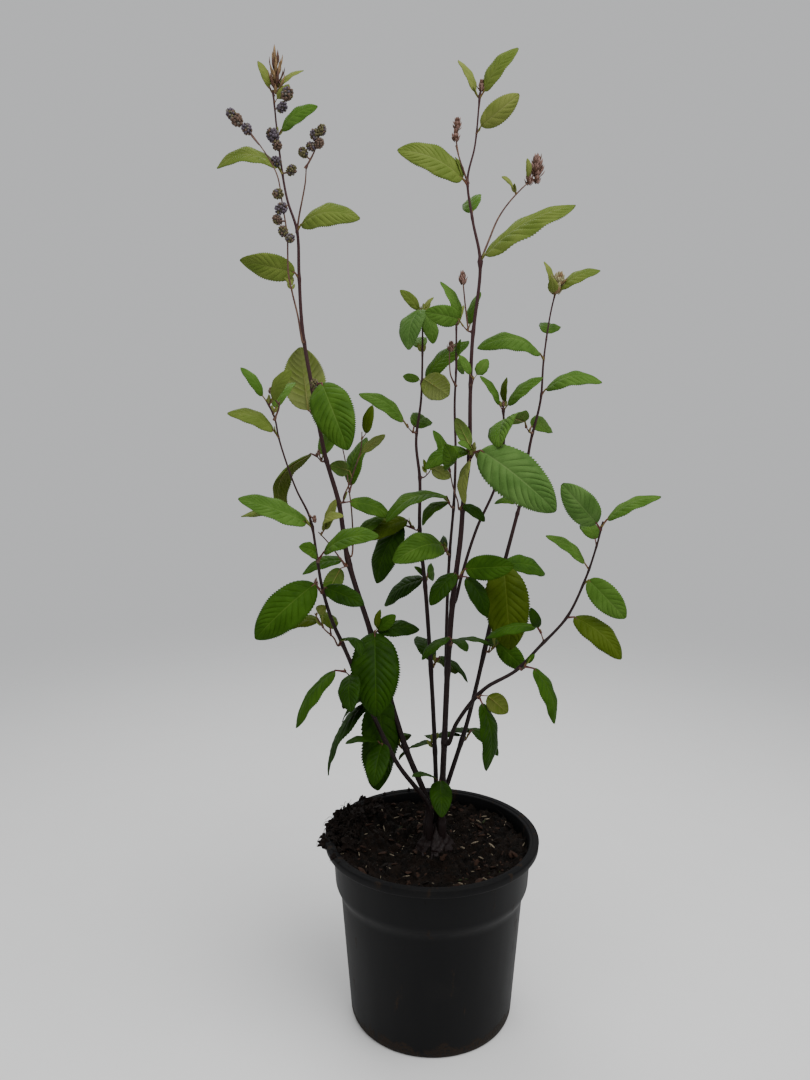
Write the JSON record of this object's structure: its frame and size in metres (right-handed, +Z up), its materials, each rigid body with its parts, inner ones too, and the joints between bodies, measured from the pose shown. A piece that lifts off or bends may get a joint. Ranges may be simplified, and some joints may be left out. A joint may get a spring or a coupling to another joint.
{
  "type": "california lilac in a nursery pot",
  "caption": "Young evergreen shrub with slender upright stems, veined oval leaves and clustered flower buds, in a round tapering nursery pot.",
  "frame": {"origin": "centre of the pot's flat underside", "axes": "+Z up along the pot's axis; -Y is the side that the picture shows and +X its right"},
  "size_m": [0.3177, 0.176, 0.759],
  "materials": {
    "pot": "satin black moulded plastic",
    "soil": "moist peat with bark chips",
    "stems": "smooth dark red-brown bark",
    "foliage": "satin green leaves"
  },
  "bodies": {
    "root": {"back_stem": "stems", "back_stem_hanging_leaves": "foliage", "back_stem_long_leaf": "foliage", "back_stem_low_leaves": "foliage", "back_stem_olive_leaf": "foliage", "back_stem_shoot_222": "foliage", "back_stem_shoot_290": "foliage", "back_stem_top": "foliage", "centre_leader": "stems", "centre_leader_crown_leaves": "foliage", "centre_leader_great_leaf": "foliage", "centre_leader_inner_twig": "foliage", "centre_leader_low_leaves": "foliage", "centre_leader_shoot_200": "foliage", "centre_leader_shoot_318": "foliage", "centre_leader_small_leaves": "foliage", "centre_leader_top": "foliage", "left_leader": "stems", "left_leader_arching_leaf": "foliage", "left_leader_bright_leaf": "foliage", "left_leader_broad_leaf": "foliage", "left_leader_foot_leaves": "foliage", "left_leader_inner_twig": "foliage", "left_leader_left_twig": "foliage", "left_leader_low_leaves": "foliage", "left_leader_right_twig": "foliage", "left_leader_shoot_228": "foliage", "left_leader_side_shoot": "foliage", "left_leader_top": "foliage", "left_shoot": "stems", "left_shoot_broad_leaves": "foliage", "left_shoot_low_leaf": "foliage", "left_shoot_shoot_238": "foliage", "left_shoot_top": "foliage", "left_shoot_twig": "foliage", "left_shoot_upper_leaf": "foliage", "low_branch": "stems", "low_branch_hanging_leaf": "foliage", "low_branch_inner_leaves": "foliage", "low_branch_top": "foliage", "low_branch_upper_leaves": "foliage", "pot": "pot", "right_shoot": "stems", "right_shoot_top": "foliage", "right_stem": "stems", "right_stem_broad_leaf": "foliage", "right_stem_crossing_leaf": "foliage", "right_stem_curled_leaves": "foliage", "right_stem_low_leaves": "foliage", "right_stem_shoot_232": "foliage", "right_stem_top": "foliage", "rootstock": "stems", "soil": "soil", "thin_stem": "stems", "thin_stem_bright_leaf": "foliage", "thin_stem_long_leaf": "foliage", "thin_stem_top": "foliage"}
  },
  "joints": []
}
